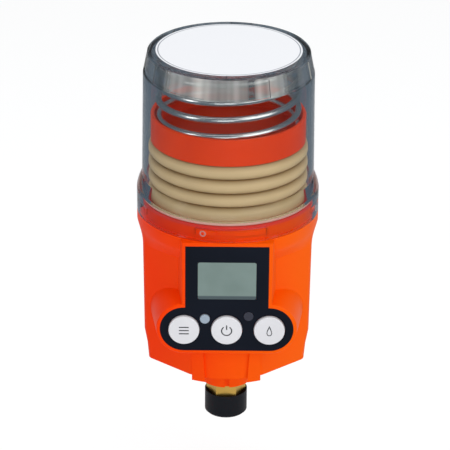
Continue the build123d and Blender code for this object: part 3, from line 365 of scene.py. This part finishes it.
def smoked_cover():
    """The clear cover: smoked plastic that darkens with depth, with a frosted grip band and painted shade on
    its step edges.

    The frost lies on the outer skin, in streaks by the angle from the front, and is partly a painted
    reflection of a bright room. The skirt's pink tint is a painted reflection haze. Shadow rays and diffuse
    rays pass straight through.
    """
    finish = Finish("clear_cover")
    x, y, z = finish.axes()
    angle = finish.math("ARCTAN2", x, finish.math("MULTIPLY", y, -1.0))
    slot_turn = turn_from(finish, angle, SLOT_MIDDLE, SLOT_EVERY)
    smoke = finish.between(finish.grain(60.0, 1.0), linear(244, 245, 246), linear(250, 251, 252))
    # painted reflection haze: the skirt below SKIRT_TOP is tinted pink
    skirt = finish.tinted(finish.math("LESS_THAN", z, SKIRT_TOP * MM), smoke, linear(252, 226, 238))
    lines = cover_painted_edge_shade(finish, angle, z, slot_turn)
    # painted shade: the step edges' lines darken the glass
    finish.drive("Base Color", finish.tinted(lines, skirt, linear(96, 100, 108)))
    finish.fix(Roughness=0.02, Transmission_Weight=1.0, IOR=1.1, Coat_Weight=0.1, Coat_Roughness=0.03)
    finish.drive("Roughness", finish.number(finish.math("LESS_THAN", BAND_LOW * MM, z), 0.02, 0.2))
    depth = finish.add("ShaderNodeVolumeAbsorption")
    depth.inputs["Color"].default_value = (0.0, 0.1, 0.2, 1)
    depth.inputs["Density"].default_value = 30.0
    finish.join(depth.outputs[0], finish.output.inputs["Volume"])
    # painted reflection: streaks of a bright room, laid on the grip band as a diffuse frost
    streak = finish.add("ShaderNodeTexNoise", noise_dimensions="1D")
    streak.inputs["Scale"].default_value = 3.2
    finish.join(finish.math("ADD", angle, 0.84), streak.inputs["W"])
    frost = finish.add("ShaderNodeBsdfDiffuse")
    finish.join(finish.between(streak.outputs["Fac"], linear(84, 90, 92), linear(222, 222, 216), 0.36, 0.66),
                frost.inputs["Color"])
    frosted = finish.mixed(frost_and_painted_reflection(finish, z, slot_turn), finish.surface.outputs[0], frost.outputs[0])
    path = finish.add("ShaderNodeLightPath").outputs
    straight = finish.add("ShaderNodeBsdfTransparent")
    straight.inputs[0].default_value = linear(250, 251, 252)
    passing = finish.math("MAXIMUM", path["Is Shadow Ray"], path["Is Diffuse Ray"])
    finish.join(finish.mixed(passing, frosted, straight.outputs[0]), finish.output.inputs[0])
    return finish.material


def label_print():
    """The top label: bare white with a thin grey ring, by distance from the axis."""
    finish = Finish("label_white")
    ring = finish.near(finish.radius(), 37.5 * MM, 0.28 * MM)
    finish.drive("Base Color", finish.between(ring, linear(243, 244, 247), linear(150, 154, 162), 0.0, 1.0))
    finish.gloss(1500.0, 0.42, 0.52, 0.002)
    finish.fix(Specular_IOR_Level=0.12)
    return finish.material


def display_face():
    """The display: grey-green, with a darker strip along its foot, and dark outside its rounded corners.

    The corners are dark where the distance past the corners' centres, along X and Z, is over their radius.
    """
    centre_x, centre_z, corner_r, middle_z, strip_top = 14.2, 9.55, 1.25, 92.0, 82.9
    finish = Finish("display_glass")
    x, _, z = finish.axes()
    above = finish.math("MULTIPLY", finish.math("SUBTRACT", z, strip_top * MM), 1500.0)
    body = finish.between(finish.grain(60.0), linear(116, 135, 130), linear(126, 145, 140))
    shaded = finish.tinted(finish.number(above, 0.0, 1.0), linear(74, 88, 92), body)

    def past(way, centre):
        return finish.math("MAXIMUM", finish.math("SUBTRACT", finish.math("ABSOLUTE", way), centre * MM), 0.0)

    reach = finish.length(past(x, centre_x), past(finish.math("SUBTRACT", z, middle_z * MM), centre_z))
    corner = finish.math("LESS_THAN", corner_r * MM, reach)
    finish.drive("Base Color", finish.tinted(corner, shaded, linear(18, 24, 34)))
    finish.fix(Roughness=0.25, Specular_IOR_Level=0.3)
    return finish.material


def bellows_film():
    """The bellows: a pale tan skin with painted shade, darker toward the bottom of its grooves, by distance
    from the axis.
    """
    finish = Finish("bellows_film")
    # painted shade: the grooves darken with depth below the crest
    depth = finish.math("DIVIDE", finish.math("SUBTRACT", finish.radius(), 40.4 * MM), 2.2 * MM)
    place = finish.math("ADD", depth, finish.drift(0.3))
    finish.drive("Base Color", finish.between(place, linear(158, 124, 78), linear(228, 197, 146), 0.0, 1.0))
    finish.gloss(1400.0, 0.36, 0.48, 0.004)
    finish.fix(Specular_IOR_Level=0.3)
    return finish.material


def seal_ring():
    """The cover's seal: red at its foot, and pale above it as a painted highlight."""
    lip_low = 122.8
    finish = Finish("seal_rubber")
    _, _, z = finish.axes()
    # painted highlight: the seal is pale above lip_low
    painted_highlight_lip = finish.math("LESS_THAN", lip_low * MM, z)
    finish.drive("Base Color", finish.between(painted_highlight_lip, linear(226, 66, 50), linear(238, 178, 160), 0.0, 1.0))
    finish.gloss(2000.0, 0.34, 0.46, 0.004)
    return finish.material


ORANGE = housing_orange()
NAVY = moulded("overlay_film", (19, 24, 35), (14, 19, 29), 0.42, 0.3, 0.003, shine=0.06)
WHITE_KEY = moulded("key_white", (229, 229, 233), (222, 222, 226), 0.3, 0.8, 0.002, coat=0.3)
GREY_KEY = moulded("key_grey", (156, 171, 186), (147, 162, 177), 0.34, 0.8, 0.002)
MARK = moulded("key_print", (52, 56, 62), (46, 50, 56), 0.45, 0.3, 0.001)
LABEL = label_print()
DISPLAY = display_face()
SMOKE = smoked_cover()
LAMP = moulded("lamp_lens", (34, 37, 54), (28, 31, 46), 0.25, 0.8, 0.001)
RUBBER = seal_ring()
BASE = moulded("base_plastic", (244, 66, 50), (236, 58, 44), 0.4, 0.6, 0.005, shine=0.25)
FOLDS = bellows_film()
PRESSER = moulded("presser_plastic", (250, 72, 20), (243, 63, 16), 0.4, 0.7, 0.004, shine=0.15)
COIL = moulded("spring_steel", (238, 238, 234), (216, 216, 212), 0.24, 0.4, 0.004, metal=1.0)
BRIGHT = moulded("bright_steel", (205, 207, 210), (190, 192, 196), 0.16, 0.4, 0.002, metal=1.0)
CAN = moulded("motor_steel", (172, 174, 178), (160, 162, 166), 0.34, 0.3, 0.004, metal=1.0)
CAST = moulded("pump_metal", (178, 180, 184), (160, 162, 168), 0.42, 0.5, 0.01, metal=1.0)
BRASS = moulded("outlet_brass", (214, 178, 92), (196, 158, 74), 0.34, 0.25, 0.004, metal=1.0)
CAP = moulded("cap_plastic", (19, 23, 29), (15, 18, 24), 0.42, 0.5, 0.004, shine=0.12)
FRAME = moulded("frame_plastic", (214, 208, 188), (204, 198, 178), 0.45, 0.6, 0.005)
GEAR = moulded("gear_plastic", (232, 229, 216), (222, 219, 206), 0.4, 0.4, 0.003)
BOARD = moulded("board_laminate", (26, 92, 48), (20, 80, 42), 0.35, 0.4, 0.004)
WRAP = moulded("cell_wrap", (60, 68, 84), (52, 60, 76), 0.3, 0.5, 0.002)

OF_NODE = {
    "housing": ORANGE, "face_overlay": NAVY, "indicator_lamp": LAMP, "display_window": DISPLAY,
    "display_module": DISPLAY, "left_button": WHITE_KEY, "centre_button": WHITE_KEY,
    "right_button": WHITE_KEY, "reset_button": GREY_KEY, "control_board": BOARD, "key_switches": CAP,
    "board_screws": COIL, "cover": SMOKE, "top_label": LABEL, "cover_seal": RUBBER,
    "bellows_base": BASE, "bellows": FOLDS, "presser_cup": PRESSER, "compression_spring": COIL,
    "deck_plate": FRAME, "deck_screws": COIL, "pump_block": CAST, "plunger": BRIGHT,
    "return_spring": COIL, "outlet_adapter": BRASS, "check_ball": BRIGHT, "check_spring": COIL,
    "protective_cap": CAP, "gearbox_base": FRAME, "gearbox_plate": FRAME, "gearbox_screws": COIL,
    "motor_can": CAN, "motor_shaft": BRIGHT, "motor_pinion": GEAR, "reduction_gear": GEAR,
    "camshaft": BRIGHT, "cam_gear": GEAR, "battery_cells": WRAP, "battery_holder": FRAME,
}
for node, finish in OF_NODE.items():
    mesh = frame["nodes"][node].data
    mesh.materials.clear()
    mesh.materials.append(finish)


# ---- pieces ----

for node in ("housing", "presser_cup", "bellows_base", "outlet_adapter", "protective_cap",
             "left_button", "centre_button", "right_button", "reset_button", "cover_seal"):
    merged(node + "_fine", node, OF_NODE[node])


def bellows_folds():
    """The bellows, turned round Z: the radius is groove + (crest - groove) * |sin(pi s)| ** 0.55.

    s counts the waves up from the base. The lowest half wave keeps the crest's radius down to the base.
    """
    low, high, waves, groove, crest = 122.6, 154.6, 4, 39.9, 42.7
    s = np.linspace(0, waves, waves * 28 + 1)
    bulge = np.where(s < 0.5, 1.0, np.abs(np.sin(math.pi * s)) ** 0.55)
    wall = np.stack([groove + (crest - groove) * bulge, low + (high - low) * s / waves], -1)
    points, faces = turned(np.vstack([[0.01, low], wall, [0.01, high]]), 160)
    obj = piece("bellows_folds", points, faces, FOLDS, 40)
    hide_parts("bellows")
    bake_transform(obj)


def coil_spring():
    """The presser's spring: a round wire along a helix, with its centre at z = start + pitch t / 2 pi.

    Both ends are ground flat, by holding the heights between low and high.
    """
    low, high, radius, wire, pitch, grind, first = 157.2, 201.5, 37.1, 1.7, 9.4, 0.9, math.radians(190)
    start, stop = low + wire - grind, high - wire + grind
    turns = (stop - start) / pitch
    t = np.linspace(0, 2 * math.pi * turns, int(turns * 120))
    ring = np.linspace(0, 2 * math.pi, 20, endpoint=False)
    r = radius + wire * np.cos(ring)[None, :]
    angle = (first + t)[:, None] + 0 * r
    middle = start + pitch * t / (2 * math.pi)
    height = np.clip(middle[:, None] + wire * np.sin(ring)[None, :], low, high)
    points = np.stack([r * np.cos(angle), r * np.sin(angle), height], -1).reshape(-1, 3)
    faces = grid_faces(len(t), len(ring), wrap_columns=True).tolist()
    faces += [list(range(len(ring)))[::-1], list(range(len(points) - len(ring), len(points)))]
    obj = piece("coil_spring", points, faces, COIL, 50)
    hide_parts("compression_spring")
    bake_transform(obj)


def inside_steps(angle, period, start, stop):
    """1 where an angle in degrees, taken modulo the period, lies from start to stop, and 0 elsewhere."""
    local = (angle - (start + stop) / 2 + period / 2) % period - period / 2
    return (np.abs(local) < (stop - start) / 2).astype(float)


def cover_profile():
    """Rows of (radius, height, kind) down the outside and up the inside, with the flare as an arc."""
    plain, recess, entry, slot = 0, 1, 2, 3
    arc_x, arc_z, arc_r = 30.4361, 123.8056, 18.7730
    flare_top, flare_foot = (46.2, 134.0), (RIM_R, 126.6)
    start, stop = (math.atan2(h - arc_z, r - arc_x) for r, h in (flare_top, flare_foot))
    bend = np.linspace(start, stop, 12)
    flare = np.stack([arc_x + arc_r * np.cos(bend), arc_z + arc_r * np.sin(bend), 0 * bend], -1)
    band = np.stack([np.linspace(43.343, 45.247, 5), np.linspace(202.0, 192.6, 5), np.full(5, recess)], -1)
    wall = np.stack([np.linspace(45.45, 46.2, 7), np.linspace(191.6, 134.0, 7), np.zeros(7)], -1)[:-1]
    inner = np.stack([np.linspace(43.9, 43.15, 7), np.linspace(134.0, 191.6, 7), np.zeros(7)], -1)
    return np.vstack([
        [(0, 203.7, plain), (20, 203.7, plain), (38.8, 203.7, plain), (38.8, 204, plain), (42.3, 204, plain)],
        [(43.1, 203.2, plain), (43.343, 202.0, plain)], band, [(45.247, 192.6, plain)], wall, flare,
        [(RIM_R, 114.15, plain), (46.2, 114.15, entry), (46.2, SLOT_LOW, entry)],
        [(46.2, SLOT_LOW, slot), (46.2, SLOT_HIGH, slot)],
        [(46.2, SLOT_HIGH, plain), (46.2, 124.4, plain), (44.0, 124.4, plain)], inner,
        [(40.8, 201.6, plain), (20, 201.6, plain), (0, 201.6, plain)],
    ])


def cover_shell():
    """The clear cover as one closed skin: x = r sin a and y = -r cos a, with a the angle from the front.

    r is a profile's radius, less 0.65 mm between the grip ribs and plus 1.45 mm in the bayonet slots. Two
    columns share the angle of each step, one for either side of it.
    """
    recess_depth, slot_depth = 0.65, 1.45
    rows = cover_profile()
    steps = [k * RIB_EVERY + RIB_MIDDLE + side for k in range(8) for side in (-RIB_HALF, RIB_HALF)]
    steps += [k * SLOT_EVERY + edge for k in range(4) for edge in (SLOT_START, ENTRY_STOP, SLOT_STOP)]
    steps = np.array(steps) % 360
    even = np.linspace(0, 360, 240, endpoint=False)
    place = np.concatenate([even, np.repeat(steps, 2)])
    side = np.concatenate([even, (steps[:, None] + np.array([-0.01, 0.01])).ravel()])
    order = np.lexsort((side, place))
    place, side = place[order], side[order]
    shift = np.stack([
        0 * side,
        -recess_depth * (1 - inside_steps(side, RIB_EVERY, RIB_MIDDLE - RIB_HALF, RIB_MIDDLE + RIB_HALF)),
        slot_depth * inside_steps(side, SLOT_EVERY, ENTRY_STOP, SLOT_STOP),
        slot_depth * inside_steps(side, SLOT_EVERY, SLOT_START, SLOT_STOP),
    ])
    radius = np.maximum(rows[:, 0][:, None] + shift[rows[:, 2].astype(int)], 0)
    angle = np.radians(place)
    height = rows[:, 1][:, None] + 0 * radius
    points = np.stack([radius * np.sin(angle), -radius * np.cos(angle), height], -1).reshape(-1, 3)
    obj = piece("cover_shell", points, grid_faces(len(rows), len(place), wrap_columns=True), SMOKE)
    weld(obj.data, 14.0, outward=True)
    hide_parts("cover")
    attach(obj, "cover_body")


def check_valve_spring():
    """The check valve's small coil, as a fixed copy that rides no body; on the valve it shortens when the
    ball is pressed off its seat.
    """
    obj = merged("check_spring_fine", "check_spring", COIL, rides=False)
    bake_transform(obj)


def flat_mark(name, centre, outline, hole, body):
    """A thin printed mark on a key: a band of faces between two matching outlines of (x, z) points."""
    key_face, thickness = -50.2, 0.008
    flat = np.vstack([np.asarray(outline, float), np.asarray(hole, float)]) + np.asarray(centre)
    points = np.stack([flat[:, 0], np.full(len(flat), key_face - 0.006), flat[:, 1]], -1)
    obj = piece(name, points, grid_faces(2, len(outline)), MARK)
    solid = obj.modifiers.new("thickness", "SOLIDIFY")
    solid.thickness = thickness * MM
    solid.offset = 0.0
    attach(obj, body)


def arc(radius, start, stop, count=48):
    """Points on a circle between two angles in degrees from +X, counter-clockwise."""
    t = np.radians(np.linspace(start, stop, count))
    return np.stack([radius * np.cos(t), radius * np.sin(t)], -1)


def bar(x0, x1, z0, z1):
    """The two long sides of a straight bar, as matching rows of points."""
    return np.array([[x0, z1], [x1, z1]]), np.array([[x0, z0], [x1, z0]])


def key_marks():
    """Plain marks: three bars on the left key, a broken ring and bar in the middle, a drop on the right."""
    spacing, key_z, half_line = 22.7, 63.4, 0.32
    for i, z in enumerate((1.9, 0.0, -1.9)):
        sides = bar(-2.6, 2.6, z - half_line, z + half_line)
        flat_mark(f"menu_bar_{i + 1}", (-spacing, key_z), *sides, "left_button_body")
    flat_mark("on_ring", (0, key_z), arc(3.0, 125, 415), arc(2.35, 125, 415), "centre_button_body")
    flat_mark("on_bar", (0, key_z), *bar(-half_line, half_line, 0.6, 3.4), "centre_button_body")
    t = np.linspace(0, 2 * math.pi, 73)
    drop = np.stack([2.1 * np.sin(t) * np.sin(t / 2) ** 1.5, 0.2 + 3.1 * np.cos(t)], -1)
    flat_mark("drop", (spacing, key_z), drop, drop * 0.7 + np.array([0, -0.35]), "right_button_body")


bellows_folds()
coil_spring()
cover_shell()
check_valve_spring()
key_marks()


# ---- studio ----

ROOM = (0.118, 0.158, 0.195, 1)


def stage_floor():
    """A pale floor that shows as white with a soft shadow, and as a grey room through the clear cover.

    It lies low enough for the protective cap to stay in sight when it's pulled off.
    """
    finish = Finish("studio_floor")
    finish.fix(Base_Color=(0.86, 0.87, 0.88, 1), Roughness=0.8, Specular_IOR_Level=0.0)
    path = finish.add("ShaderNodeLightPath").outputs
    glow = finish.light("ShaderNodeEmission", (1, 1, 1, 1), 1.13)
    room = finish.light("ShaderNodeEmission", ROOM, 1.0)
    lit = finish.mixed(finish.math("MULTIPLY", path["Is Camera Ray"], 0.74), finish.surface.outputs[0], glow)
    finish.join(finish.mixed(path["Is Transmission Ray"], lit, room), finish.output.inputs[0])
    half, low = 3000.0, -53.0
    points = [[-half, -half, low], [half, -half, low], [half, half, low], [-half, half, low]]
    piece("studio_floor", points, [[0, 1, 2, 3]], finish.material)


def lamp(name, place, size, power, colour=(1, 1, 1)):
    """A soft oblong lamp, in metres and watts, turned to face the part's middle."""
    data = bpy.data.lights.new(name, "AREA")
    data.shape = "RECTANGLE"
    data.size, data.size_y = size
    data.energy = power
    data.color = colour
    obj = placed(name, data)
    direction = Vector((0, 0, 0.09)) - Vector(place)
    obj.rotation_euler = direction.to_track_quat("-Z", "Y").to_euler()
    obj.location = place


def studio():
    """A room, white to the camera and grey through glass, with lamps right, left, in front and above."""
    world = bpy.data.worlds.new("studio")
    bpy.context.scene.world = world
    world.use_nodes = True
    room = Shading(world.node_tree)
    path = room.add("ShaderNodeLightPath").outputs
    fill = room.light("ShaderNodeBackground", (0.93, 0.96, 1.0, 1), 0.38)
    grey = room.light("ShaderNodeBackground", ROOM, 1.0)
    white = room.light("ShaderNodeBackground", (1, 1, 1, 1), 1.0)
    unseen = room.mixed(path["Is Transmission Ray"], fill, grey)
    room.join(room.mixed(path["Is Camera Ray"], unseen, white), room.add("ShaderNodeOutputWorld").inputs[0])
    lamp("right_lamp", (0.75, -0.75, 0.65), (1.0, 1.2), 6.2, (1.0, 0.98, 0.95))
    lamp("left_lamp", (-0.9, -0.5, 0.45), (0.25, 0.9), 1.8, (1.0, 0.98, 0.97))
    lamp("front_lamp", (-0.1, -1.1, 0.15), (0.6, 0.3), 1.6)
    lamp("top_lamp", (0.0, 0.1, 1.0), (0.8, 0.8), 4.2)


def camera():
    """The photograph's view: from the front and above, 24.8 degrees down, at 1.32 metres."""
    sensor_mm, focal_px, picture_px = 36.0, 2351.1, 450.0
    data = bpy.data.cameras.new("camera")
    data.sensor_width = sensor_mm
    data.lens = sensor_mm * focal_px / picture_px
    obj = placed("camera", data)
    down = Euler((math.radians(90 - 24.80), 0, 0)).to_matrix()
    roll = Euler((0, 0, math.radians(0.514))).to_matrix()
    obj.matrix_world = Matrix.Translation((-1.35 * MM, -1160.2 * MM, 638.3 * MM)) @ (down @ roll).to_4x4()
    bpy.context.scene.camera = obj


stage_floor()
studio()
camera()
bpy.context.scene.view_settings.view_transform = "Standard"
